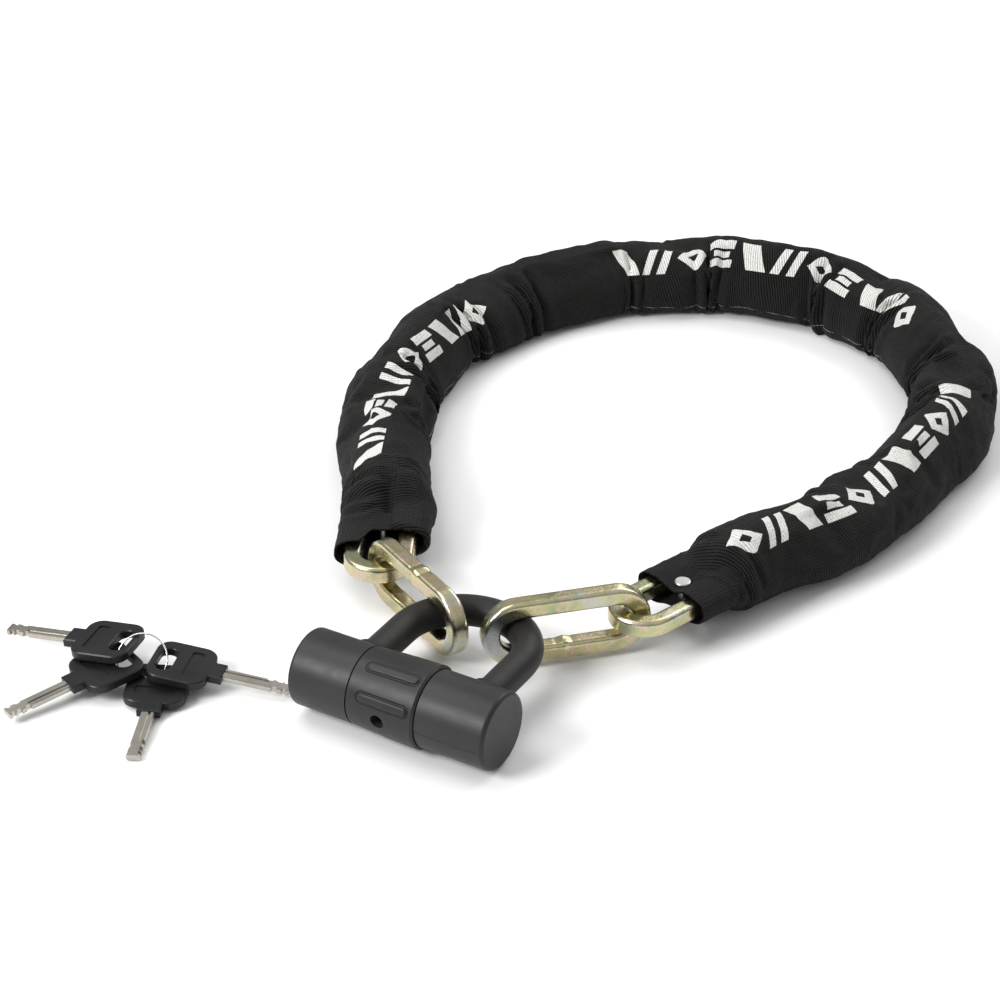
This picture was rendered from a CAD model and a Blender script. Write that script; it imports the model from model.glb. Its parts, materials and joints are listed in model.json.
# A chain lock lying on the floor (z = 0). The lock body is a crossbar along x with a collar
# at its middle. Seventeen square-bar links run in a loop from its left end to its right end;
# fifteen of them are inside a woven sleeve. A link's heading points towards the right end.
# Odd links lie flat and even links stand upright. Units are metres; MM turns millimetres
# into metres.
import json
import math

import bmesh
import bpy
import numpy as np
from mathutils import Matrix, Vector, noise


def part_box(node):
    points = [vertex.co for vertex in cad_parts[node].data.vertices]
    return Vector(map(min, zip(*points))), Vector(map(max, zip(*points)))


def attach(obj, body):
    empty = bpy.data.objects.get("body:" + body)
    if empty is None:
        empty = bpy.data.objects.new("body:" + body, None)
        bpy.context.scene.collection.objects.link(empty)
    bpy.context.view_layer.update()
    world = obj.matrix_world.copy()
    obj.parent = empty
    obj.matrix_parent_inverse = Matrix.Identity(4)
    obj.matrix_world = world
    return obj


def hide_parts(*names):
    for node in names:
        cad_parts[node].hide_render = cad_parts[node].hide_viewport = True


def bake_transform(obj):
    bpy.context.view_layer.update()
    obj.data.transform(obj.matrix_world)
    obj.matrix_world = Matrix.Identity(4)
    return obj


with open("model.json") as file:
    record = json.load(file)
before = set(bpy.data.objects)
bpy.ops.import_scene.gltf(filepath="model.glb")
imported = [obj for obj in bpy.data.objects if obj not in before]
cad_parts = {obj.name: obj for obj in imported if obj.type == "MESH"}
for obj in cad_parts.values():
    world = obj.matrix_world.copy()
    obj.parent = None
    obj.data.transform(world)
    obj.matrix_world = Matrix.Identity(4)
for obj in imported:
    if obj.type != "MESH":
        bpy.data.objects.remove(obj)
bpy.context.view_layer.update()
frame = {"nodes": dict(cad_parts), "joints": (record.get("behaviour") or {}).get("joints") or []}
NODES = frame["nodes"]
MM = 0.001

# ------------------------------------------------------------------
# layout, read from the frame
# ------------------------------------------------------------------
JOINT = {joint["name"]: joint for joint in frame["joints"]}
LAST = 16                                    # number of the right end link
# pivot i joins link i - 1 to link i
PIVOT = {i: np.array(JOINT["chain_pivot_%02d" % i]["pos_m"][:2]) for i in range(1, LAST + 1)}
AXIS_Z = JOINT["collar_turn"]["pos_m"][2]
BAR = np.array(JOINT["collar_turn"]["pos_m"])          # crossbar centre
LINK_NAMES = ["left_end_link"] + ["link_%02d" % i for i in range(1, LAST)] + ["right_end_link"]


def node_xy(name):
    lo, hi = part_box(name)
    return np.array([(lo.x + hi.x) / 2, (lo.y + hi.y) / 2])


def heading(i):
    start = PIVOT[i] if i > 0 else CENTRE[0]
    end = PIVOT[i + 1] if i < LAST else CENTRE[LAST]
    step = end - start
    return math.atan2(step[1], step[0])


CENTRE = [node_xy(name) for name in LINK_NAMES]
HEAD = [heading(i) for i in range(LAST + 1)]

LINK_LENGTH, LINK_WIDTH = 93 * MM, 39 * MM
BAR_SIDE = 10 * MM                           # square section of the link bar
BAR_CORNER = 2.4 * MM                        # corner radius of that section
BEND_RADIUS = (LINK_WIDTH - BAR_SIDE) / 2    # round ends, to the middle of the bar
STRAIGHT_HALF = (LINK_LENGTH - LINK_WIDTH) / 2

# grip ribs on the collar: name, first and last x from the crossbar centre in mm, degrees
# round the crossbar from +y towards +z
RIBS = (
    ("grip_rib_upper", -15.5, 14.5, 113.5),
    ("grip_rib_lower", -15.5, 14.0, 158.5),
)
RIB_HALF_WIDTH = 2.1                         # mm
RIB_HEIGHT = 0.85 * MM

# coordinates of the print on the sleeve, mm
PRINT_CELL = 23.0                            # length of one figure
PRINT_LENGTH = 11 * PRINT_CELL
PRINT_WIDTH = 19.0
PRINT_MARGIN = 0.5                           # bare cloth at each end of a print
UNPRINTED = (-9.0, 99.0)                     # a place outside the print


# ------------------------------------------------------------------
# mesh helpers
# ------------------------------------------------------------------
def assign(target, **values):
    for name, value in values.items():
        setattr(target, name, value)


def make_object(name, verts, faces, mat=None, smooth=True):
    mesh = bpy.data.meshes.new(name)
    mesh.from_pydata([tuple(v) for v in verts], [], faces)
    mesh.update()
    if smooth:
        mesh.polygons.foreach_set("use_smooth", [True] * len(mesh.polygons))
    ob = bpy.data.objects.new(name, mesh)
    bpy.context.scene.collection.objects.link(ob)
    if mat is not None:
        mesh.materials.append(mat)
    return ob


def add_uv(ob, name, corners):
    layer = ob.data.uv_layers.new(name=name)
    layer.data.foreach_set("uv", np.asarray(corners, np.float32).ravel())


def grid_faces(nu, nv, wrap_u=False, wrap_v=False, flip=False):
    """faces of a nu by nv vertex grid, index = u * nv + v"""
    out = []
    for u in range(nu if wrap_u else nu - 1):
        for v in range(nv if wrap_v else nv - 1):
            a = u * nv + v
            b = u * nv + (v + 1) % nv
            c = ((u + 1) % nu) * nv + (v + 1) % nv
            d = ((u + 1) % nu) * nv + v
            out.append((a, d, c, b) if flip else (a, b, c, d))
    return out


def fix_normals(ob):
    bm = bmesh.new()
    bm.from_mesh(ob.data)
    bmesh.ops.recalc_face_normals(bm, faces=bm.faces)
    bm.to_mesh(ob.data)
    bm.free()


def sharpen_edges(ob, degrees):
    """marks edges that fold by more than this angle as sharp"""
    bm = bmesh.new()
    bm.from_mesh(ob.data)
    limit = math.radians(degrees)
    for edge in bm.edges:
        edge.smooth = not (len(edge.link_faces) == 2 and edge.calc_face_angle(0) > limit)
    bm.to_mesh(ob.data)
    bm.free()
    ob.data.polygons.foreach_set("use_smooth", [True] * len(ob.data.polygons))


def rounded_square(half, r, n):
    """closed profile: n steps round each corner, three points along each flat"""
    centres = [(sx * (half - r), sy * (half - r)) for sx, sy in ((1, 1), (-1, 1), (-1, -1), (1, -1))]
    pts = []
    for k, (cx, cy) in enumerate(centres):
        for j in range(n + 1):
            a = k * math.pi / 2 + math.pi / 2 * j / n
            pts.append((cx + r * math.cos(a), cy + r * math.sin(a)))
        next_x, next_y = centres[(k + 1) % 4]
        last = pts[-1]
        a = (k + 1) * math.pi / 2
        end = (next_x + r * math.cos(a), next_y + r * math.sin(a))
        for j in (1, 2, 3):
            t = j / 4
            pts.append((last[0] * (1 - t) + end[0] * t, last[1] * (1 - t) + end[1] * t))
    return np.array(pts)


def unit(a):
    return np.array([math.cos(a), math.sin(a)])


def link_axes(i):
    """heading of a link, and the direction to its left"""
    return unit(HEAD[i]), np.array([-math.sin(HEAD[i]), math.cos(HEAD[i])])


def link_point(i, along, across, through):
    """a point of link i, given in the link's own plane and through its thickness"""
    ahead, left = link_axes(i)
    side, lift = (across, through) if i % 2 else (through, across)
    return (CENTRE[i][0] + ahead[0] * along + left[0] * side,
            CENTRE[i][1] + ahead[1] * along + left[1] * side, AXIS_Z + lift)


# ------------------------------------------------------------------
# node materials, written as arithmetic
# ------------------------------------------------------------------
class Value:
    """a shader output that takes part in arithmetic"""

    def __init__(self, mat, socket):
        self.mat = mat
        self.socket = socket

    def op(self, kind, other=0.0):
        return self.mat.math(kind, self, other)

    def __add__(self, other): return self.op("ADD", other)
    __radd__ = __add__
    def __sub__(self, other): return self.op("SUBTRACT", other)
    def __rsub__(self, other): return self.mat.math("SUBTRACT", other, self)
    def __mul__(self, other): return self.op("MULTIPLY", other)
    def __truediv__(self, other): return self.op("DIVIDE", other)
    def __lt__(self, other): return self.op("LESS_THAN", other)
    def __gt__(self, other): return self.op("GREATER_THAN", other)
    def abs(self): return self.op("ABSOLUTE")
    def floor(self): return self.op("FLOOR")
    def fract(self): return self.op("FRACT")
    def sin(self): return self.op("SINE")
    def max(self, other): return self.op("MAXIMUM", other)
    def min(self, other): return self.op("MINIMUM", other)
    def mod(self, other): return self.op("FLOORED_MODULO", other)

    def soft(self, lo, hi):
        """0 below lo, 1 above hi"""
        node = self.mat.add("ShaderNodeMapRange", interpolation_type="SMOOTHSTEP")
        self.mat.put(node.inputs[0], self)
        node.inputs[1].default_value, node.inputs[2].default_value = lo, hi
        return Value(self.mat, node.outputs[0])


class Material:
    def __init__(self, name):
        self.data = bpy.data.materials.new(name)
        self.data.use_nodes = True
        self.tree = self.data.node_tree
        self.tree.nodes.clear()
        out = self.add("ShaderNodeOutputMaterial")
        self.shader = self.add("ShaderNodeBsdfPrincipled")
        self.tree.links.new(self.shader.outputs[0], out.inputs[0])

    def add(self, kind, **props):
        node = self.tree.nodes.new(kind)
        assign(node, **props)
        return node

    def put(self, socket, value):
        if isinstance(value, Value):
            self.tree.links.new(value.socket, socket)
        elif isinstance(value, tuple) and len(value) == 3 and socket.type == "RGBA":
            socket.default_value = value + (1.0,)
        else:
            socket.default_value = value

    def node(self, kind, output=0, **inputs):
        node = self.add(kind)
        for name, value in inputs.items():
            self.put(node.inputs[name], value)
        return Value(self, node.outputs[output])

    def math(self, kind, a, b):
        node = self.add("ShaderNodeMath", operation=kind)
        for socket, value in zip(node.inputs, (a, b, 0.0)):
            self.put(socket, value)
        return Value(self, node.outputs[0])

    def noise(self, vec, scale, detail, rough=0.55, distortion=0.0):
        return self.node("ShaderNodeTexNoise", Vector=vec, Scale=scale, Detail=detail,
                         Roughness=rough, Distortion=distortion)

    def ramp(self, fac, lo, hi):
        """black below lo, white above hi"""
        node = self.add("ShaderNodeValToRGB")
        ends = node.color_ramp.elements
        ends[0].position, ends[1].position = lo, hi
        self.put(node.inputs[0], fac)
        return Value(self, node.outputs[0])

    def mix(self, fac, a, b):
        node = self.add("ShaderNodeMix", data_type="RGBA")
        for k, value in ((0, fac), (6, a), (7, b)):
            self.put(node.inputs[k], value)
        return Value(self, node.outputs[2])

    def bump(self, height, strength, distance, normal=None):
        node = self.add("ShaderNodeBump")
        node.inputs["Strength"].default_value = strength
        node.inputs["Distance"].default_value = distance
        self.put(node.inputs["Height"], height)
        if normal is not None:
            self.put(node.inputs["Normal"], normal)
        return Value(self, node.outputs[0])

    def object_coords(self):
        return self.node("ShaderNodeTexCoord", "Object")

    def pointiness(self):
        return self.node("ShaderNodeNewGeometry", "Pointiness")

    def stretched(self, vec, scale):
        return self.node("ShaderNodeMapping", Vector=vec, Scale=scale)

    def uv(self, name):
        return Value(self, self.add("ShaderNodeUVMap", uv_map=name).outputs[0])

    def split(self, vec):
        node = self.add("ShaderNodeSeparateXYZ")
        self.put(node.inputs[0], vec)
        return [Value(self, out) for out in node.outputs]

    def finish(self, **inputs):
        for name, value in inputs.items():
            self.put(self.shader.inputs[name.replace("_", " ")], value)
        return self.data


def tint(color, gain):
    return tuple(min(1.0, c * gain) for c in color)


def around_bar(m):
    """distance along the crossbar and angle round it (metres, radians)"""
    x, y, z = m.split(m.object_coords())
    x = x - float(BAR[0])
    y = y - float(BAR[1])
    z = z - float(BAR[2])
    return x, m.math("ARCTAN2", z, y)


def groove(d, half):
    """1 in the middle of a line of this half width, 0 outside it"""
    return 1.0 - d.abs().soft(half * 0.35, half)


def collar_marks(m):
    """the moat round each grip rib"""
    radius = 0.0219                          # turns angle into distance round the collar
    x, angle = around_bar(m)
    total = None
    for _, x0, x1, degrees in RIBS:
        middle, straight = (x0 + x1) / 2 * MM, ((x1 - x0) / 2 - RIB_HALF_WIDTH) * MM
        dx = ((x - middle).abs() - straight).max(0.0)
        dy = (angle - math.radians(degrees)) * radius
        distance = (dx * dx + dy * dy).op("SQRT")
        moat = groove(distance - 2.75 * MM, half=0.85 * MM)
        total = moat if total is None else total.max(moat)
    return total


def cover_marks(m):
    """parting line along the right cover"""
    radius, start, end = 0.021, 18.0 * MM, 56.0 * MM
    x, angle = around_bar(m)
    line = groove((angle + math.radians(176.0)) * radius, half=0.22 * MM)
    return line * (x > start) * (x < end) * 0.8


def plastic(name, base, rough, grain, bump, wear, sheen=0.0, marks=None):
    """dark plastic; grain scales the finest bumps, wear spreads light and dark"""
    m = Material(name)
    co = m.object_coords()
    big = m.noise(co, scale=38.0, detail=4.0)
    mid = m.noise(co, scale=260.0, detail=3.0)
    fine = m.noise(co, scale=grain * 2.2, detail=2.0)
    col = m.mix(m.ramp(big, lo=0.3, hi=0.7), tint(base, 1 - wear), tint(base, 1 + wear * 2.2))
    # edges catch a little wear
    edge = m.ramp(m.pointiness(), lo=0.5, hi=0.62)
    col = m.mix(edge * 0.35, col, tint(base, 2.2))
    # sparse dust specks
    specks = m.ramp(m.noise(co, scale=2600.0, detail=1.0), lo=0.72, hi=0.78)
    col = m.mix(specks * 0.25, col, tint(base, 3.5))
    roughness = mid * 0.16 + (rough - 0.08)
    normal = m.bump(fine * 0.6 + mid * 0.4, strength=bump, distance=0.00012)
    if marks is not None:
        cut = marks(m)
        normal = m.bump(1.0 - cut, strength=1.0, distance=0.0007, normal=normal)
        col = m.mix(cut * 0.55, col, tint(base, 0.35))
    m.finish(Base_Color=col, Roughness=roughness, Normal=normal, Specular_IOR_Level=0.30)
    if sheen:
        m.finish(Sheen_Weight=sheen, Sheen_Roughness=0.5)
    return m.data


COVER = plastic("cover_plastic", base=(0.0185, 0.0183, 0.0190), rough=0.43, grain=1500.0,
                bump=0.35, wear=0.10, marks=cover_marks)
COLLAR = plastic("collar_plastic", base=(0.0175, 0.0172, 0.0180), rough=0.42, grain=1500.0,
                 bump=0.30, wear=0.10, marks=collar_marks)
RIB = plastic("rib_plastic", base=(0.0178, 0.0175, 0.0183), rough=0.40, grain=1500.0,
              bump=0.30, wear=0.10)
COAT = plastic("shackle_coat", base=(0.0100, 0.0095, 0.0088), rough=0.52, grain=700.0,
               bump=0.12, wear=0.12, sheen=0.05)
GROMMET = plastic("grommet_rubber", base=(0.012, 0.012, 0.0125), rough=0.6, grain=1200.0,
                  bump=0.25, wear=0.10)
KEY_PLASTIC = plastic("key_plastic", base=(0.0075, 0.0075, 0.008), rough=0.38, grain=700.0,
                      bump=0.75, wear=0.30)


def zinc(name):
    """yellow passivated zinc over drawn steel"""
    m = Material(name)
    co = m.object_coords()
    cloud = m.noise(co, scale=55.0, detail=3.0, rough=0.6, distortion=0.4)
    stain = m.noise(co, scale=120.0, detail=4.0, rough=0.6, distortion=0.8)
    broad = m.noise(co, scale=34.0, detail=2.0, rough=0.5, distortion=0.2)
    gold, green = (0.55, 0.49, 0.26), (0.31, 0.37, 0.19)
    pink, blue = (0.62, 0.45, 0.38), (0.41, 0.47, 0.52)
    glancing, worn, pitted = (0.70, 0.60, 0.40), (0.80, 0.76, 0.64), (0.20, 0.19, 0.13)
    col = m.mix(m.ramp(cloud, lo=0.38, hi=0.62), gold, green)
    col = m.mix(m.ramp(stain, lo=0.47, hi=0.62) * 0.8, col, pink)
    col = m.mix(m.ramp(broad, lo=0.54, hi=0.68) * 0.8, col, blue)
    facing = m.node("ShaderNodeLayerWeight", "Facing", Blend=0.35)
    col = m.mix(facing * 0.5, col, glancing)
    edge = m.ramp(m.pointiness(), lo=0.505, hi=0.56)
    col = m.mix(edge * 0.6, col, worn)
    pits = m.ramp(m.noise(co, scale=900.0, detail=3.0, rough=0.65), lo=0.30, hi=0.42)
    col = m.mix((1.0 - pits) * 0.5, col, pitted)
    streaks = m.noise(m.stretched(co, scale=(240.0, 240.0, 2400.0)), scale=1.0, detail=3.0,
                      rough=0.5)
    roughness = stain * 0.34 + 0.07
    height = m.noise(co, scale=320.0, detail=4.0) * 0.7 + streaks * 0.3
    height = height + pits * 0.25
    normal = m.bump(height, strength=0.32, distance=0.00035)
    return m.finish(Base_Color=col, Metallic=1.0, Roughness=roughness, Normal=normal)


ZINC = zinc("yellow_zinc")


def metal(name, base, rough, bump, scale=400.0):
    """bare metal, brushed along x"""
    m = Material(name)
    co = m.object_coords()
    fine = m.noise(co, scale=scale, detail=4.0)
    broad = m.noise(co, scale=scale * 0.12, detail=3.0)
    brushed = m.noise(m.stretched(co, scale=(260.0, 1500.0, 1500.0)), scale=1.0, detail=3.0)
    col = m.mix(m.ramp(broad, lo=0.35, hi=0.7), tint(base, 0.78), base)
    roughness = fine * 0.16 + (rough - 0.06)
    roughness = roughness + brushed * 0.06
    normal = m.bump(fine * 0.4 + brushed * 0.6, strength=bump, distance=0.00008)
    return m.finish(Base_Color=col, Metallic=1.0, Roughness=roughness, Normal=normal)


NICKEL = metal("key_nickel", base=(0.50, 0.475, 0.42), rough=0.26, bump=0.25, scale=500.0)
WIRE = metal("ring_steel", base=(0.72, 0.70, 0.66), rough=0.2, bump=0.05)
RIVET = metal("rivet_steel", base=(0.60, 0.60, 0.58), rough=0.30, bump=0.12)
STEEL = metal("hard_steel", base=(0.42, 0.42, 0.43), rough=0.35, bump=0.12)
BRASS = metal("brass", base=(0.60, 0.46, 0.22), rough=0.32, bump=0.10)
CAST = metal("cast_zinc", base=(0.40, 0.40, 0.40), rough=0.5, bump=0.3)


def print_figures(lx, ly, number):
    """slanted bars, double bars, diamonds and stacked dashes in turn; lx and ly are in cells"""
    kind = number.mod(4.0)
    bar = (lx + ly * 0.30).abs() < 0.27
    double = ((lx - ly * 0.30).abs() - 0.21).abs() < 0.115
    diamond = (lx.abs() * 0.92 + ly.abs() * 0.80) < 0.44
    hollow = (lx.abs() + ly.abs()) > 0.17
    outer_dashes = ((ly.abs() - 0.35).abs() < 0.15) * (lx.abs() < 0.40)
    middle_dash = (ly.abs() < 0.11) * (lx.abs() < 0.27)
    shape = (bar * (kind < 0.5)) + (double * ((kind > 0.5) * (kind < 1.5)))
    shape = shape + ((diamond * hollow) * ((kind > 1.5) * (kind < 2.5)))
    return shape + (outer_dashes.max(middle_dash) * (kind > 2.5))


def fabric(name):
    """ribbed nylon weave with a worn print"""
    m = Material(name)
    uv = m.uv("st")
    print_uv = m.uv("pr")
    along, around, _ = m.split(uv)                       # mm
    x, y, _ = m.split(print_uv)                          # mm in the printed band
    wobble = m.noise(uv, scale=0.35, detail=3.0)
    # thick yarns round the tube, slightly askew, crossed by finer ones
    rib_pitch, skew, cross_rate = 1.5, 0.21963, 0.8021
    rate = math.pi / rib_pitch
    rib = ((along + (around * skew) + wobble * 0.9) * rate).sin().abs()
    cross = ((around + wobble * 0.7) * (rate * cross_rate)).sin().abs()
    weave = rib * (0.66 + (cross * 0.34))
    coarse = m.noise(uv, scale=0.16, detail=4.0, rough=0.6)
    fuzz = m.noise(uv, scale=3.4, detail=2.0)
    # the print, and where it has worn off
    number = (x / PRINT_CELL).floor()
    lx = (x / PRINT_CELL).fract() - 0.5
    ly = y / PRINT_WIDTH
    shape = print_figures(lx, ly, number)
    blotch = m.noise(uv, scale=0.55, detail=4.0, rough=0.7) * 1.0
    inside = (ly.abs() < 0.5) * (x > PRINT_MARGIN) * (x < PRINT_LENGTH - PRINT_MARGIN)
    crack = m.noise(uv, scale=1.5, detail=4.0, rough=0.75)
    keep = (crack * 0.60 + blotch * 0.40 + weave * 0.05).soft(0.415, 0.455)
    ink = shape.min(1.0) * inside * keep
    low = weave.soft(0.12, 0.35)
    ink = ink * (0.72 + low * 0.28)
    # yarn colour with dusty highs
    gap, yarn, faded, fluff = ((0.0004, 0.0004, 0.0005), (0.0215, 0.0200, 0.0186),
                               (0.0110, 0.0104, 0.0098), (0.06, 0.06, 0.06))
    dull_ink, clean_ink = (0.80, 0.80, 0.76), (0.92, 0.92, 0.88)
    base = m.mix(weave.soft(0.30, 0.98), gap, yarn)
    base = m.mix(coarse.soft(0.35, 0.75) * 0.35, base, faded)
    base = m.mix((fuzz > 0.70) * 0.30, base, fluff)
    col = m.mix(ink, base, m.mix(crack.soft(0.4, 0.7), dull_ink, clean_ink))
    height = weave * 1.0 + coarse * 0.5 + fuzz * 0.15 + ink * 0.12
    normal = m.bump(height, strength=0.9, distance=0.0008)
    roughness = 0.70 + (coarse * 0.2) - (ink * 0.12)
    return m.finish(Base_Color=col, Roughness=roughness, Normal=normal, Sheen_Weight=0.03,
                    Sheen_Roughness=0.4, Specular_IOR_Level=0.16)


NYLON = fabric("woven_nylon")


# ------------------------------------------------------------------
# the sleeve's middle line: a spline through link centres and pivots
# ------------------------------------------------------------------
def natural_spline(t, y):
    """natural cubic spline through (t, y), as a function of t"""
    n = len(t)
    h = np.diff(t)
    matrix = np.zeros((n, n))
    rhs = np.zeros((n, y.shape[1]))
    matrix[0, 0] = matrix[-1, -1] = 1.0
    for i in range(1, n - 1):
        matrix[i, i - 1], matrix[i, i], matrix[i, i + 1] = h[i - 1], 2 * (h[i - 1] + h[i]), h[i]
        rhs[i] = 6 * ((y[i + 1] - y[i]) / h[i] - (y[i] - y[i - 1]) / h[i - 1])
    m = np.linalg.solve(matrix, rhs)

    def at(q):
        k = np.clip(np.searchsorted(t, q) - 1, 0, n - 2)
        hk = h[k][:, None]
        a, b = (t[k + 1] - q)[:, None], (q - t[k])[:, None]
        return ((m[k] * a ** 3 + m[k + 1] * b ** 3) / (6 * hk) + (y[k] / hk - m[k] * hk / 6) * a
                + (y[k + 1] / hk - m[k + 1] * hk / 6) * b)
    return at


def sleeve_path():
    """from behind the centre of link 1 to ahead of the centre of link 15"""
    path = [CENTRE[1] - 9.6 * MM * unit(HEAD[1])]
    for i in range(1, LAST - 1):
        path += [CENTRE[i], PIVOT[i + 1]]
    path += [CENTRE[15], CENTRE[15] + 7.0 * MM * unit(HEAD[15])]
    return np.array(path)


def running_length(points):
    return np.r_[0, np.cumsum(np.linalg.norm(np.diff(points, axis=0), axis=1))]


PATH = sleeve_path()
KNOTS = running_length(PATH)
SPLINE = natural_spline(KNOTS, PATH)
DENSE_T = np.linspace(0, KNOTS[-1], 4001)
DENSE = SPLINE(DENSE_T)
DENSE_ARC = running_length(DENSE)
SLEEVE_LENGTH = DENSE_ARC[-1]


def arc_of(point):
    """arc length of the place on the middle line nearest to a point"""
    return DENSE_ARC[np.argmin(np.linalg.norm(DENSE - point, axis=1))]


def curve_at(arc):
    """position, direction and leftward direction at arc lengths"""
    q = np.interp(arc, DENSE_ARC, DENSE_T)
    e = 1e-4
    ahead = SPLINE(np.minimum(q + e, KNOTS[-1])) - SPLINE(np.maximum(q - e, 0))
    ahead /= np.linalg.norm(ahead, axis=1)[:, None]
    return SPLINE(q), ahead, np.stack([-ahead[:, 1], ahead[:, 0]], 1)


def smooth(x, lo, hi):
    t = np.clip((x - lo) / (hi - lo), 0, 1)
    return t * t * (3 - 2 * t)


# ------------------------------------------------------------------
# the relaxed tube, before it settles
# ------------------------------------------------------------------
ROWS, RING = 226, 44
ROW_ARC = np.linspace(0, SLEEVE_LENGTH, ROWS)
RING_ANGLE = np.arange(RING) / RING * 2 * math.pi     # 0 on top, + towards the left
ROW_XY, _, ROW_LEFT = curve_at(ROW_ARC)
END_DISTANCE = np.minimum(ROW_ARC, SLEEVE_LENGTH - ROW_ARC) / MM
FLATNESS = 1 - smooth(END_DISTANCE, 17.0, 44.0)       # 1 at the mouths


def start_grid(lateral, height):
    grid = np.zeros((ROWS, RING, 3))
    grid[:, :, 0] = ROW_XY[:, 0, None] + ROW_LEFT[:, 0, None] * lateral
    grid[:, :, 1] = ROW_XY[:, 1, None] + ROW_LEFT[:, 1, None] * lateral
    grid[:, :, 2] = height
    return grid


def start_tube():
    # wider on the flat links and taller on the upright ones
    centres = np.array([arc_of(CENTRE[i]) for i in range(1, LAST)])
    phase = np.interp(ROW_ARC, centres, np.arange(15))
    swell = np.cos(phase * math.pi)                   # +1 on flat links
    half_width = (25.3 + 1.0 * swell) * MM
    half_height = (23.2 - 0.9 * swell) * MM
    axis_z = half_height + 0.5 * MM
    angle = RING_ANGLE[None, :] + np.zeros((ROWS, 1))
    cosine, sine = np.cos(angle), np.sin(angle)
    tube = start_grid(sine * half_width[:, None], axis_z[:, None] + cosine * half_height[:, None])
    # drawn flat at the mouths, with a valley between the bars where the rivet sits;
    # at the left mouth the cloth lies over the rivet
    power, flat_width, flat_height = 3.2, 24.6, 8.8
    radius = (np.abs(sine / flat_width) ** power
              + np.abs(cosine / flat_height) ** power) ** (-1 / power) * MM
    lateral = radius * sine
    valley = np.where(ROW_ARC < SLEEVE_LENGTH / 2, 0.10, 0.46)[:, None]
    height = radius * cosine * (1 - valley * np.exp(-(lateral / (8.0 * MM)) ** 2))
    flat = start_grid(lateral, AXIS_Z + height)
    return tube + (flat - tube) * FLATNESS[:, None, None]


START = start_tube()


# ------------------------------------------------------------------
# the sleeve settles over the links
# ------------------------------------------------------------------
def collision_link(i):
    """a light link for the cloth to fall on"""
    profile = rounded_square(BAR_SIDE / 2, BAR_CORNER, 2)[::2]
    verts = []
    for sign in (1, -1):
        for j in range(13):
            a = -math.pi / 2 + math.pi * j / 12
            x, y = sign * (STRAIGHT_HALF + BEND_RADIUS * math.cos(a)), sign * BEND_RADIUS * math.sin(a)
            nx, ny = sign * math.cos(a), sign * math.sin(a)
            verts += [link_point(i, x + nx * p, y + ny * p, q) for p, q in profile]
    return verts, grid_faces(26, len(profile), True, True)


def rest_shape():
    """the cloth unstrained: a straight tube, a little longer and wider"""
    rng = np.random.default_rng(7)
    step = SLEEVE_LENGTH / (ROWS - 1) * 1.15
    girth = np.linalg.norm(np.roll(START, -1, 1) - START, axis=2).sum(1)
    radius = (girth / (2 * math.pi) * (1.045 - 0.03 * FLATNESS))[:, None]
    rest = np.zeros((ROWS, RING, 3))
    rest[:, :, 0] = (np.arange(ROWS) * step)[:, None]
    rest[:, :, 1] = np.sin(RING_ANGLE)[None, :] * radius
    rest[:, :, 2] = np.cos(RING_ANGLE)[None, :] * radius
    # slightly uneven cloth, so the folds aren't regular
    rest[:, :, 0] += rng.normal(0, 0.00018, (ROWS, 1))
    return rest


def add_cloth(ob, rest_key, frames):
    cloth = ob.modifiers.new("Cloth", "CLOTH")
    assign(cloth.settings, quality=7, mass=0.35,
           tension_stiffness=22.0, compression_stiffness=22.0, shear_stiffness=6.0,
           bending_model="ANGULAR", bending_stiffness=2.2,
           tension_damping=8.0, compression_damping=8.0, shear_damping=8.0,
           bending_damping=1.5, air_damping=3.0,
           vertex_group_mass="pin", pin_stiffness=30.0, rest_shape_key=rest_key,
           use_pressure=True, uniform_pressure_force=1.2)
    cloth.settings.effector_weights.gravity = 0.45
    assign(cloth.collision_settings, use_collision=True, collision_quality=3,
           distance_min=0.012, use_self_collision=False)
    assign(cloth.point_cache, frame_start=1, frame_end=frames)


def simulate():
    """the settled tube; simulated at ten times life size, which suits the solver"""
    scale = 10.0
    frames = 26
    scene = bpy.context.scene
    made = []
    for i in range(1, LAST):
        verts, faces = collision_link(i)
        ob = make_object("sim_link_%02d" % i, np.array(verts) * scale, faces)
        fix_normals(ob)
        ob.modifiers.new("Collision", "COLLISION")
        assign(ob.collision, thickness_outer=0.008, thickness_inner=0.05, cloth_friction=4.0)
        made.append(ob)
    ground = make_object("sim_floor", [(-9, -9, 0), (9, -9, 0), (9, 9, 0), (-9, 9, 0)],
                         [(0, 1, 2, 3)])
    ground.modifiers.new("Collision", "COLLISION")
    ground.collision.thickness_outer = 0.01
    made.append(ground)

    sleeve = make_object("sim_sleeve", START.reshape(-1, 3) * scale,
                         grid_faces(ROWS, RING, False, True, True))
    made.append(sleeve)
    sleeve.shape_key_add(name="Basis", from_mix=False)
    key = sleeve.shape_key_add(name="rest", from_mix=False)
    key.data.foreach_set("co", (rest_shape().reshape(-1, 3) * scale).astype(np.float32).ravel())
    # both mouths are held
    held = [u * RING + v for u in range(ROWS)
            if min(ROW_ARC[u], SLEEVE_LENGTH - ROW_ARC[u]) < 20 * MM for v in range(RING)]
    sleeve.vertex_groups.new(name="pin").add(held, 1.0, "REPLACE")
    add_cloth(sleeve, key, frames)

    for f in range(1, frames + 1):
        scene.frame_set(f)
    settled = sleeve.evaluated_get(bpy.context.evaluated_depsgraph_get())
    co = np.zeros(len(settled.data.vertices) * 3, np.float32)
    settled.data.vertices.foreach_get("co", co)
    out = co.reshape(ROWS, RING, 3).astype(float) / scale
    scene.frame_set(1)
    for ob in made:
        bpy.data.objects.remove(ob)
    return out


def settled_cloth():
    move = simulate() - START
    far = np.linalg.norm(move, axis=2)
    most = 11.0 * MM
    return START + move * np.minimum(1.0, most / np.maximum(far, 1e-9))[:, :, None]


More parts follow.
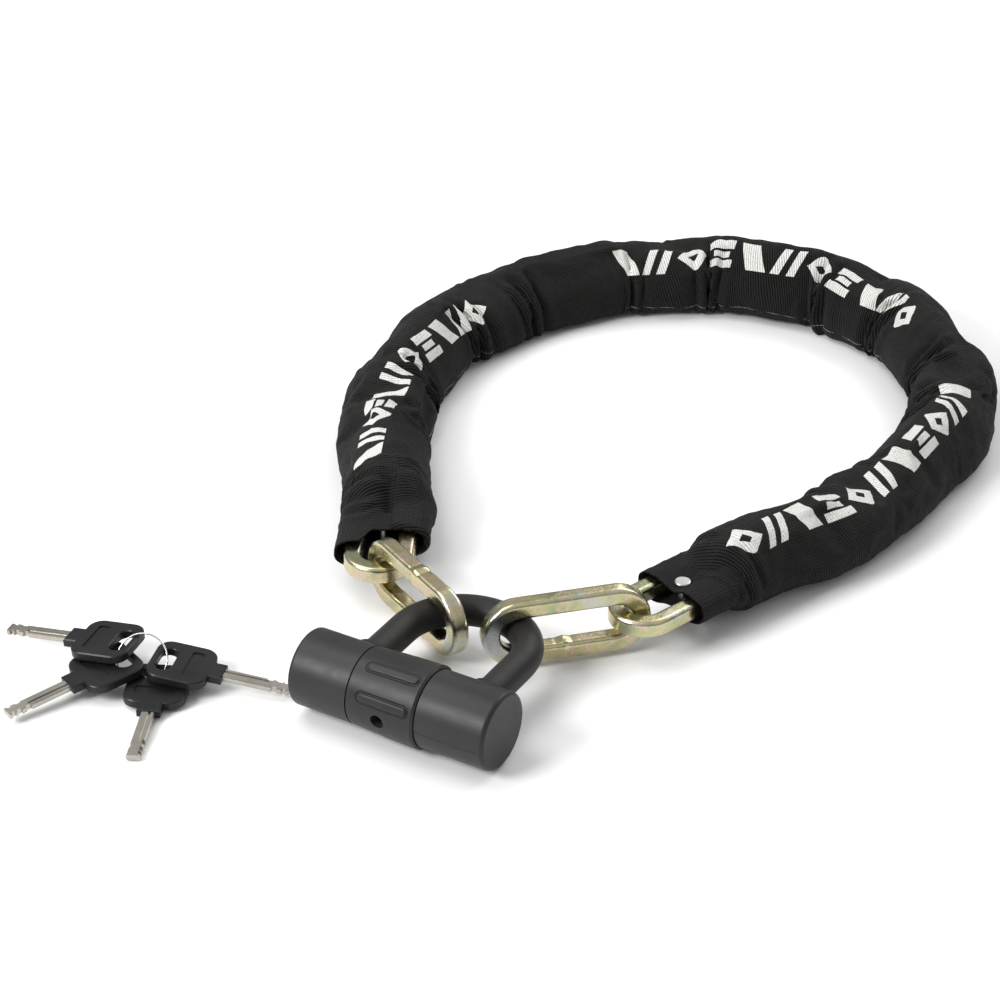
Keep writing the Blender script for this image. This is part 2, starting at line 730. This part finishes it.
def upsample(g, k, axis, wrap):
    """Catmull-Rom refinement of a grid along one axis"""
    g = np.moveaxis(g, axis, 0)
    n = len(g)
    m = n * k if wrap else (n - 1) * k + 1
    t = np.arange(m) / k
    i = np.minimum(np.floor(t).astype(int), n - 1 if wrap else n - 2)
    f = (t - i).reshape((-1,) + (1,) * (g.ndim - 1))

    def at(j):
        return g[j % n] if wrap else g[np.clip(j, 0, n - 1)]
    p0, p1, p2, p3 = at(i - 1), at(i), at(i + 1), at(i + 2)
    out = 0.5 * (2 * p1 + (p2 - p0) * f + (2 * p0 - 5 * p1 + 4 * p2 - p3) * f ** 2
                 + (3 * p1 - p0 - 3 * p2 + p3) * f ** 3)
    return np.moveaxis(out, 0, axis)


def grid_normals(g):
    """outward normals of the tube"""
    du = np.gradient(g, axis=0)
    dv = np.roll(g, -1, 1) - np.roll(g, 1, 1)
    n = np.cross(dv, du)
    n /= np.maximum(np.linalg.norm(n, axis=2), 1e-12)[:, :, None]
    c = g.mean(1, keepdims=True)
    return -n if ((g - c) * n).sum() < 0 else n


CLOTH = upsample(upsample(settled_cloth(), 3, 0, False), 2, 1, True)
ARC = np.linspace(0, SLEEVE_LENGTH, CLOTH.shape[0])
ARC_MM = (ARC / MM)[:, None]
ANGLE = np.arange(CLOTH.shape[1]) / CLOTH.shape[1] * 2 * math.pi
MID_XY, AHEAD, LEFT = curve_at(ARC)


# ------------------------------------------------------------------
# folds: heights in mm along the normals of the tube
# ------------------------------------------------------------------
def lateral_mm(g):
    """how far each point is to the left of the middle line"""
    return ((g[:, :, :2] - MID_XY[:, None]) * LEFT[:, None]).sum(2) / MM


def bell(x, width):
    return np.exp(-(x / width) ** 2)


def sector(centre, half):
    """angle from a centre line, and a mask that fades out half (degrees) to each side"""
    turn = (ANGLE - math.radians(centre) + math.pi) % (2 * math.pi) - math.pi
    mask = np.clip(np.cos(turn * 90.0 / half), 0, 1) * (np.abs(turn) < math.radians(half))
    return turn, mask[None, :]


def fold(d, depth, width, swell, swell_at, swell_width):
    """a groove at d = 0 with a swell at both sides of it"""
    return -depth * bell(d, width) + swell * bell(np.abs(d) - swell_at, swell_width)


def cloth_noise(stretch, octaves, seed):
    """smooth noise over the tube; stretch scales it along and across"""
    shape = CLOTH.shape[:2]
    points = np.stack([np.broadcast_to(ARC_MM / 19.0, shape),
                       np.broadcast_to(np.cos(ANGLE) * 1.25, shape),
                       np.broadcast_to(np.sin(ANGLE) * 1.25, shape)], 2).reshape(-1, 3)
    shift = Vector((seed, seed * 1.7, -seed))
    values = [noise.fractal(Vector(p) + shift, 0.6, 2.0, octaves)
              for p in points * np.array(stretch)]
    return np.array(values).reshape(shape)


def small_creases():
    """uneven cloth everywhere, stronger on the inside of bends and weaker at the mouths"""
    change = np.gradient(AHEAD, axis=0) / np.gradient(ARC)[:, None]
    bend = AHEAD[:, 0] * change[:, 1] - AHEAD[:, 1] * change[:, 0]
    inner = np.clip(bend[:, None] * np.sin(ANGLE)[None, :] / 5.0, 0, 1)
    medium = cloth_noise(stretch=(1.0, 1.0, 1.0), octaves=3, seed=3.1)
    fine = cloth_noise(stretch=(3.0, 1.2, 1.2), octaves=2, seed=9.2)
    broad = cloth_noise(stretch=(0.35, 0.9, 0.9), octaves=2, seed=5.5)
    height = 0.75 * medium + 0.35 * fine * (0.4 + 1.9 * inner) + 1.7 * broad
    fade = np.clip((np.minimum(ARC, SLEEVE_LENGTH - ARC) / MM - 16) / 20, 0, 1)[:, None]
    return height * (0.3 + 0.7 * fade)


def pinches():
    """where the chain turns: a deep fold on the inside and a lesser one to each side of it"""
    rng = np.random.default_rng(21)
    height = 0.0
    for k in range(2, LAST):
        turn = (HEAD[k] - HEAD[k - 1] + math.pi) % (2 * math.pi) - math.pi
        side = 1.0 if turn > 0 else -1.0
        amount = 0.25 + min(1.0, abs(math.degrees(turn)) / 24.0)
        jitter, slant = rng.uniform(-5, 5), rng.uniform(-7, 7)
        # offset along the sleeve mm, strength, width mm
        folds = ((0.0, 1.0, 2.7),
                 (rng.uniform(9, 14), 0.42, 2.2),
                 (-rng.uniform(9, 15), 0.48, 2.2))
        dth, mask = sector(side * 72, 82.0)
        from_pivot = ARC_MM - arc_of(PIVOT[k]) / MM - jitter
        for offset, strength, width in folds:
            d = from_pivot - offset - slant * np.sin(dth)[None, :]
            height = height + amount * strength * mask * fold(
                d, depth=5.2, width=width, swell=2.5, swell_at=8.0, swell_width=4.4)
        height = height - 0.9 * bell(from_pivot, 6.0) * min(1.0, amount)
    return height


# gathers behind the left mouth, mostly on its left lobe:
# arc mm, centre and half spread in degrees, strength
LEFT_GATHERS = (
    (24.0, 62.0, 62.0, 1.0), (31.0, 58.0, 70.0, 1.2), (38.5, 50.0, 78.0, 1.3),
    (46.0, 20.0, 95.0, 1.3), (54.0, -5.0, 80.0, 1.0),
)
# creases in from the right mouth: mm from the mouth, centre in degrees
RIGHT_CREASES = ((27.0, 55.0), (36.0, -60.0), (44.0, 40.0))


def left_mouth_folds():
    height = 0.0
    for at, centre, half, strength in LEFT_GATHERS:
        dth, mask = sector(centre, half)
        d = ARC_MM - at - 2.5 * np.sin(dth * 1.7 + at)[None, :]
        height = height + strength * mask * fold(
            d, depth=1.25, width=1.7, swell=0.5, swell_at=3.4, swell_width=1.8)
    # a valley between the lobes, and a fuller left lobe
    lateral = lateral_mm(CLOTH)
    top = np.clip(np.cos(ANGLE) * 3.0, 0, 1)[None, :]
    valley = smooth(ARC_MM, 15.0, 23.0) * (1 - smooth(ARC_MM, 40.0, 56.0))
    lobe = smooth(ARC_MM, 12.0, 24.0) * (1 - smooth(ARC_MM, 34.0, 48.0))
    height = height - 3.8 * valley * bell(lateral + 2.5, 4.0) * top
    return height + 1.5 * lobe * bell(lateral - 11.0, 6.0) * top


def right_mouth_folds():
    height = 0.0
    for at, centre in RIGHT_CREASES:
        dth, mask = sector(centre, 60.0)
        d = SLEEVE_LENGTH / MM - ARC_MM - at - 3.0 * np.sin(dth)[None, :]
        height = height + mask * fold(
            d, depth=1.5, width=2.0, swell=0.6, swell_at=4.5, swell_width=2.5)
    return height


def hems():
    """a turned band at each mouth, with a stitched groove in it"""
    height = 0.0
    for end in (0.0, SLEEVE_LENGTH):
        d = np.abs(ARC - end)[:, None] / MM
        height = height + np.clip((8.5 - d) / 1.2, 0, 1) * 0.35 - 0.3 * bell(d - 7.0, 0.6)
    return height


def inside_links(g, margin):
    """how far each point is inside the bars of the links grown by a margin"""
    deep = np.zeros(g.shape[:2])
    for i in range(1, LAST):
        ahead, left = link_axes(i)
        dx, dy, dz = g[:, :, 0] - CENTRE[i][0], g[:, :, 1] - CENTRE[i][1], g[:, :, 2] - AXIS_Z
        along, side = dx * ahead[0] + dy * ahead[1], dx * left[0] + dy * left[1]
        across, through = (side, dz) if i % 2 else (dz, side)
        radius = np.hypot(np.maximum(np.abs(along) - STRAIGHT_HALF, 0), across)
        reach = np.where(radius > LINK_WIDTH / 2 - BAR_SIDE - margin,
                         LINK_WIDTH / 2 + margin - radius, 0)
        deep = np.maximum(deep, np.minimum(reach, BAR_SIDE / 2 + margin - np.abs(through)))
    return np.maximum(deep, 0)


def push_off_links(g):
    """the folds stop at the links"""
    for _ in range(6):
        deep = inside_links(g, 1.9 * MM)
        if deep.max() < 0.05 * MM:
            break
        soft = (np.roll(deep, 1, 1) + np.roll(deep, -1, 1) + 2 * deep) / 4
        soft[1:-1] = (soft[:-2] + soft[2:] + 2 * soft[1:-1]) / 4
        g = g + grid_normals(g) * (np.maximum(soft, deep * 0.8) * 1.1)[:, :, None]
    return g


FOLDS = small_creases() + pinches() + left_mouth_folds() + right_mouth_folds() + hems()
OUTER = push_off_links(CLOTH + grid_normals(CLOTH) * (FOLDS * MM)[:, :, None])
OUTER[:, :, 2] = np.maximum(OUTER[:, :, 2], 0.25 * MM)
# the left mouth is cut askew: its left lobe reaches further back along the bar
SHIFT = 13.0 * smooth(lateral_mm(OUTER), 3.5, 12.0) * (1 - smooth(ARC_MM, 0.0, 40.0))
OUTER[:, :, :2] -= AHEAD[:, None] * SHIFT[:, :, None] * MM
NORMALS = grid_normals(OUTER)
CLOTH_THICKNESS = 1.1 * MM
INNER = OUTER - NORMALS * CLOTH_THICKNESS

# ------------------------------------------------------------------
# sleeve pieces
# ------------------------------------------------------------------
# middle line of each printed band: arc lengths in mm, degrees from the top
PRINTS = (
    ([50, 83, 110, 133, 167, 191, 223, 257, 287], [32, 20, 9, 3, -10, -26, -34, -40, -37]),
    ([394, 470, 560, 648], [-35, -24, -24, -30]),
    ([730, 765, 790, 818, 850, 913, 936, 959, 978], [3, 14, 21, 19, 16, 16, 21, 25, 13]),
)
PRINT_GAPS = [(PRINTS[k][0][-1] + PRINTS[k + 1][0][0]) / 2 for k in range(2)]
MEAN_RADIUS = 25.0                                    # mm, turns angle into cloth width


def blend_links(ob, k):
    """lets a piece bend about the pivot between link k and the next"""
    ahead = unit(HEAD[k]) + unit(HEAD[k + 1])
    ahead /= np.linalg.norm(ahead)
    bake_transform(ob)


def print_place(arc, angle, stations, middles):
    """where a point falls in the printed band, mm"""
    degrees = math.degrees(angle)
    if degrees > 250:
        degrees -= 360
    off_middle = degrees - float(np.interp(arc, stations, middles))
    along = (arc - stations[0]) / (stations[-1] - stations[0]) * PRINT_LENGTH
    return along, math.radians(off_middle) * MEAN_RADIUS


def sleeve_piece(k, first, last):
    """rows first to last of the tube as a closed wall"""
    rows, ring = last - first + 1, OUTER.shape[1]
    count = rows * ring
    part = slice(first, last + 1)
    outer_faces = grid_faces(rows, ring, False, True, True)
    faces = outer_faces + [tuple(count + q for q in reversed(f)) for f in outer_faces]
    end = count - ring
    for v in range(ring):
        w = (v + 1) % ring
        faces.append((w, count + w, count + v, v))
        faces.append((end + v, count + end + v, count + end + w, end + w))

    arcs = np.repeat(ARC[part] / MM, ring)
    cloth_arcs = arcs - SHIFT[part].reshape(-1)
    angles = np.tile(ANGLE, rows)
    cloth_uv, print_uv = [], []
    for face in faces:
        corners = [v % count for v in face]
        turns = [angles[v] for v in corners]
        if max(turns) - min(turns) > math.pi:
            turns = [t + 2 * math.pi if t < math.pi else t for t in turns]
        mean_arc = sum(arcs[v] for v in corners) / len(corners)
        band = PRINTS[sum(mean_arc >= gap for gap in PRINT_GAPS)]
        for v, turn in zip(corners, turns):
            cloth_uv.append((cloth_arcs[v], turn * MEAN_RADIUS))
            inside = face[0] >= count
            print_uv.append(UNPRINTED if inside else print_place(arcs[v], turn, *band))

    verts = np.concatenate([OUTER[part].reshape(-1, 3), INNER[part].reshape(-1, 3)])
    ob = make_object("sleeve_cloth_%02d" % k, verts, faces, NYLON)
    add_uv(ob, "st", cloth_uv)
    add_uv(ob, "pr", print_uv)
    normals = NORMALS[part].reshape(-1, 3)
    ob.data.normals_split_custom_set_from_vertices(
        [tuple(n) for n in np.concatenate([normals, -normals])])
    blend_links(ob, k)
    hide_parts(*(["sleeve_%02d" % k] + (["sleeve_15"] if k == 14 else [])))


def row_at(arc):
    return arc / SLEEVE_LENGTH * (len(ARC) - 1)


# cut at the link centres
CUTS = [0] + [int(round(row_at(arc_of(CENTRE[k])))) for k in range(2, 15)] + [len(ARC) - 1]
for k in range(1, 15):
    sleeve_piece(k, CUTS[k - 1], CUTS[k])


def on_sleeve(arc, angle, lift):
    """a point on the tube at an arc length (mm) and angle, raised by lift (mm)"""
    a = min(max(row_at(arc * MM), 0.0), len(ARC) - 1.001)
    b = (angle % (2 * math.pi)) / (2 * math.pi) * len(ANGLE)
    i, j = int(a), int(b) % len(ANGLE)
    fa, fb = a - i, b - int(b)
    out = np.zeros(3)
    for row, row_weight in ((i, 1 - fa), (i + 1, fa)):
        for q, weight in ((j, 1 - fb), ((j + 1) % len(ANGLE), fb)):
            out += row_weight * weight * (OUTER[row, q] + NORMALS[row, q] * lift * MM)
    return out


def mouth_flap():
    """cloth turned over the right bar at the left mouth, with a rounded far edge"""
    rows, cols = 44, 34
    left_limit, right_limit = -5.5, math.radians(-112.0)     # mm from the middle; angle
    signed = np.where(ANGLE > math.pi, ANGLE - 2 * math.pi, ANGLE)
    upper = np.where(np.cos(ANGLE) > 0.02)[0]
    upper = upper[np.argsort(signed[upper])]
    lateral = lateral_mm(OUTER)

    def left_edge(arc):
        row = int(round(row_at(arc * MM)))
        return float(np.interp(left_limit, lateral[row, upper], signed[upper]))

    outer, inner, uv = [], [], []
    for i in range(rows):
        for j in range(cols):
            t = j / (cols - 1)
            length = 33.0 + 11.0 * (1 - abs(2 * t - 1) ** 4) ** 0.25
            arc = length * (i / (rows - 1))
            start = left_edge(arc)
            angle = start + (right_limit - start) * t
            # thinner at the rim and where it meets the mouth
            rim = min(1.0, (rows - 1 - i) / 3.0, j / 2.0)
            front = min(1.0, 0.04 + i / 2.5)
            outer.append(on_sleeve(arc, angle, (1.35 + 0.95 * rim ** 0.5) * front))
            inner.append(on_sleeve(arc, angle, 0.55 if rim < 0.9 and i > 3 else -0.3))
            uv.append((arc, angle * MEAN_RADIUS))
    count = rows * cols
    faces = grid_faces(rows, cols)
    faces += [tuple(count + q for q in reversed(f)) for f in faces]
    edge = list(range(cols))
    edge += [i * cols + cols - 1 for i in range(1, rows)]
    edge += [(rows - 1) * cols + j for j in range(cols - 2, -1, -1)]
    edge += [i * cols for i in range(rows - 2, 0, -1)]
    for q, w in zip(edge, edge[1:] + edge[:1]):
        faces.append((q, w, count + w, count + q))
    ob = make_object("left_mouth_flap", outer + inner, faces, NYLON)
    add_uv(ob, "st", [uv[q % count] for f in faces for q in f])
    add_uv(ob, "pr", [UNPRINTED] * len(ob.data.loops))
    fix_normals(ob)
    sharpen_edges(ob, 60)
    blend_links(ob, 1)


mouth_flap()


# ------------------------------------------------------------------
# bare links: swept square bar with forged softness and the weld
# ------------------------------------------------------------------
def link_stations(weld_low):
    """stations round the middle of the bar: x, y, outward normal, distance along;
    and the distance to the middle of the straight that has the weld"""
    half, r = STRAIGHT_HALF, BEND_RADIUS
    bend_steps = 28
    stations = []
    start = 0.0
    for sign in (-1, 1):
        welded = weld_low == (sign < 0)
        if welded:
            weld_middle = start + half
        steps = 56 if welded else 15
        for j in range(steps):
            run = 2 * half * j / steps
            stations.append((sign * (half - run), sign * r, 0.0, sign, start + run))
        start += 2 * half
        for j in range(bend_steps):
            a = sign * math.pi / 2 + math.pi * j / bend_steps
            nx, ny = math.cos(a), math.sin(a)
            stations.append((-sign * half + r * nx, r * ny, nx, ny,
                             start + r * math.pi * j / bend_steps))
        start += math.pi * r
    return stations, weld_middle


def weld_height(d, p, q):
    """a lumpy ridge with a dip at both sides, d in mm from its middle"""
    lumps = 0.75 + 0.5 * noise.noise(Vector((d * 0.9, p * 700, q * 700)))
    ridge = 0.75 * math.exp(-(d / 2.1) ** 2) * lumps
    return MM * (ridge - 0.22 * math.exp(-((abs(d) - 4.4) / 0.9) ** 2))


def bare_link(i, weld_at, seed, weld_low=False):
    """weld_at is in mm from the middle of the welded straight"""
    profile = rounded_square(BAR_SIDE / 2, BAR_CORNER, 7)
    stations, weld_middle = link_stations(weld_low)
    verts = []
    for x, y, nx, ny, distance in stations:
        d = (distance - weld_middle - weld_at * MM) / MM
        for p, q in profile:
            rough = noise.fractal(Vector((x * 60 + seed, y * 60, q * 60)), 0.6, 2.0, 2)
            grow = -0.10 * MM * (0.5 + 0.5 * rough) + weld_height(d, p, q)
            reach = math.hypot(p, q)
            out, through = p + grow * p / reach, q + grow * q / reach
            verts.append(link_point(i, x + nx * out, y + ny * out, through))
    name = LINK_NAMES[i]
    ob = make_object("bare_" + name, verts,
                     grid_faces(len(stations), len(profile), True, True), ZINC)
    fix_normals(ob)
    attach(ob, name)
    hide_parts(name)


bare_link(0, weld_at=4.0, seed=0.0)
bare_link(1, weld_at=-6.0, seed=4.0)
bare_link(15, weld_at=5.0, seed=8.0)
bare_link(LAST, weld_at=1.0, seed=12.0, weld_low=True)

# ------------------------------------------------------------------
# finishes on the CAD pieces
# ------------------------------------------------------------------
FINISH = {
    "left_cover": COVER, "right_cover": COVER, "keyhole_collar": COLLAR,
    "leg_grommets": GROMMET, "shackle_coat": COAT, "shackle_bar": STEEL,
    "crossbar_tube": STEEL, "end_plugs": CAST, "plug_pins": RIVET, "bolt_housing": CAST,
    "cylinder_shell": BRASS, "cylinder_core": BRASS, "detainer_discs": BRASS,
    "drive_pinion": STEEL, "left_bolt": STEEL, "right_bolt": STEEL,
    "left_rivet": RIVET, "right_rivet": RIVET, "key_ring": WIRE,
}
for name in NODES:
    if name.startswith("link_") or name.endswith("_end_link"):
        FINISH[name] = ZINC
    elif name.startswith("sleeve_"):
        FINISH[name] = NYLON
    elif name.endswith("_head"):
        FINISH[name] = KEY_PLASTIC
    elif name.endswith("_blade"):
        FINISH[name] = NICKEL
for name, mat in FINISH.items():
    materials = NODES[name].data.materials
    materials.clear()
    materials.append(mat)


# ------------------------------------------------------------------
# grip ribs on the collar
# ------------------------------------------------------------------
def collar_profile():
    """x from the crossbar centre, and the collar's outer radius there"""
    co = np.array([v.co for v in NODES["keyhole_collar"].data.vertices])
    radius = np.hypot(co[:, 1] - BAR[1], co[:, 2] - BAR[2])
    outside = radius > 0.0202
    xs = np.round(co[outside, 0] - BAR[0], 5)
    stations = np.unique(xs)
    return stations, np.array([radius[outside][xs == x].max() for x in stations])


COLLAR_X, COLLAR_RADIUS = collar_profile()
# ovals from the outline to the crest: share of the half width, share of the rib height
RIB_SHELLS = ((1.0, -0.9), (1.0, 0.25), (0.96, 0.62), (0.88, 0.84),
              (0.74, 0.97), (0.55, 1.0), (0.3, 1.0), (0.02, 1.0))
RIB_SINK = 0.9 * MM                          # underside, inside the collar wall


def grip_rib(name, x0, x1, degrees):
    """a long oval pad lying on the collar"""
    n = 88
    half_width = RIB_HALF_WIDTH * MM
    middle, straight = (x0 + x1) / 2 * MM, (x1 - x0) / 2 * MM - half_width

    def oval(share, lift):
        ring = []
        for j in range(n):
            a = 2 * math.pi * j / n
            c, s = math.cos(a), math.sin(a)
            # a stadium shrunk evenly, its straights only inside the 0.3 shell
            end = math.copysign(straight, c) if abs(c) > 1e-9 else 0.0
            x = middle + end * min(1.0, share / 0.3) + half_width * share * c
            radius = float(np.interp(x, COLLAR_X, COLLAR_RADIUS))
            turn = math.radians(degrees) + half_width * share * s / radius
            ring.append((BAR[0] + x, BAR[1] + (radius + lift) * math.cos(turn),
                         BAR[2] + (radius + lift) * math.sin(turn)))
        return ring

    verts = []
    for share, height in RIB_SHELLS:
        verts += oval(share, height * RIB_HEIGHT)
    base = len(verts)
    verts += oval(1.0, -RIB_SINK)
    faces = grid_faces(len(RIB_SHELLS), n, False, True)
    faces.append(tuple(range(base - n, base)))
    for j in range(n):
        faces.append((base + j, base + (j + 1) % n, (j + 1) % n, j))
    faces.append(tuple(reversed(range(base, base + n))))
    ob = make_object(name, verts, faces, RIB)
    fix_normals(ob)
    sharpen_edges(ob, 50)
    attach(ob, "collar")


for rib in RIBS:
    grip_rib(*rib)

# ------------------------------------------------------------------
# size
# ------------------------------------------------------------------
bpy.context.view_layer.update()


# ------------------------------------------------------------------
# stage
# ------------------------------------------------------------------
def floor_paper():
    m = Material("floor_paper")
    co = m.object_coords()
    col = m.mix(m.noise(co, scale=3.0, detail=3.0), (0.88, 0.88, 0.88), (0.91, 0.91, 0.91))
    normal = m.bump(m.noise(co, scale=300.0, detail=2.0), strength=0.02, distance=0.0002)
    return m.finish(Base_Color=col, Roughness=0.85, Normal=normal)


def sky():
    """a grey surround that turns white overhead"""
    world = bpy.context.scene.world or bpy.data.worlds.new("world")
    bpy.context.scene.world = world
    world.use_nodes = True
    nodes, links = world.node_tree.nodes, world.node_tree.links
    nodes.clear()
    out = nodes.new("ShaderNodeOutputWorld")
    background = nodes.new("ShaderNodeBackground")
    coords = nodes.new("ShaderNodeTexCoord")
    split = nodes.new("ShaderNodeSeparateXYZ")
    ramp = nodes.new("ShaderNodeValToRGB")
    links.new(coords.outputs["Generated"], split.inputs[0])
    links.new(split.outputs[2], ramp.inputs[0])
    stops = ramp.color_ramp.elements
    assign(stops[0], position=0.0, color=(0.35, 0.35, 0.36, 1))
    assign(stops[1], position=0.85, color=(1.0, 1.0, 1.0, 1))
    stops.new(0.25).color = (0.40, 0.40, 0.41, 1)
    links.new(ramp.outputs[0], background.inputs[0])
    links.new(background.outputs[0], out.inputs[0])
    background.inputs["Strength"].default_value = 0.68


def aim(ob, direction):
    ob.rotation_mode = "QUATERNION"
    ob.rotation_quaternion = direction.to_track_quat("-Z", "Y")


def area(name, at, to, size, watts, size_y=None):
    light = bpy.data.lights.new(name, "AREA")
    assign(light, energy=watts, size=size)
    if size_y:
        assign(light, shape="RECTANGLE", size_y=size_y)
    ob = bpy.data.objects.new(name, light)
    ob.location = at
    aim(ob, Vector(to) - Vector(at))
    bpy.context.scene.collection.objects.link(ob)


def camera():
    """looks down at the lock from the front right"""
    data = bpy.data.cameras.new("camera")
    ob = bpy.data.objects.new("camera", data)
    bpy.context.scene.collection.objects.link(ob)
    assign(data, sensor_width=36.0, lens=101.3, shift_x=0.003, clip_start=0.05, clip_end=100.0)
    ob.location = (BAR[0] + 0.63623, BAR[1] - 0.98837, 0.8551)
    aim(ob, Vector((-0.4332, 0.7365, -0.5195)))
    bpy.context.scene.camera = ob


FLOOR_MAT = floor_paper()
make_object("stage_floor", [(-40, -40, 0), (40, -40, 0), (40, 40, 0), (-40, 40, 0)],
                     [(0, 1, 2, 3)], FLOOR_MAT, smooth=False)
sky()
area("key_light", at=(-0.9, -0.2, 1.7), to=(0, 0, 0), size=1.1, watts=12.0)
area("back_light", at=(0.25, 1.6, 1.30), to=(0, 0.1, 0), size=1.8, watts=17.0, size_y=0.8)
area("side_light", at=(1.7, -0.5, 0.9), to=(0, 0, 0), size=0.9, watts=0.5)
area("front_light", at=(-0.78, -1.50, 1.15), to=(0, -0.1, 0), size=0.7, watts=30.0)
bpy.context.scene.view_settings.view_transform = "Standard"
camera()
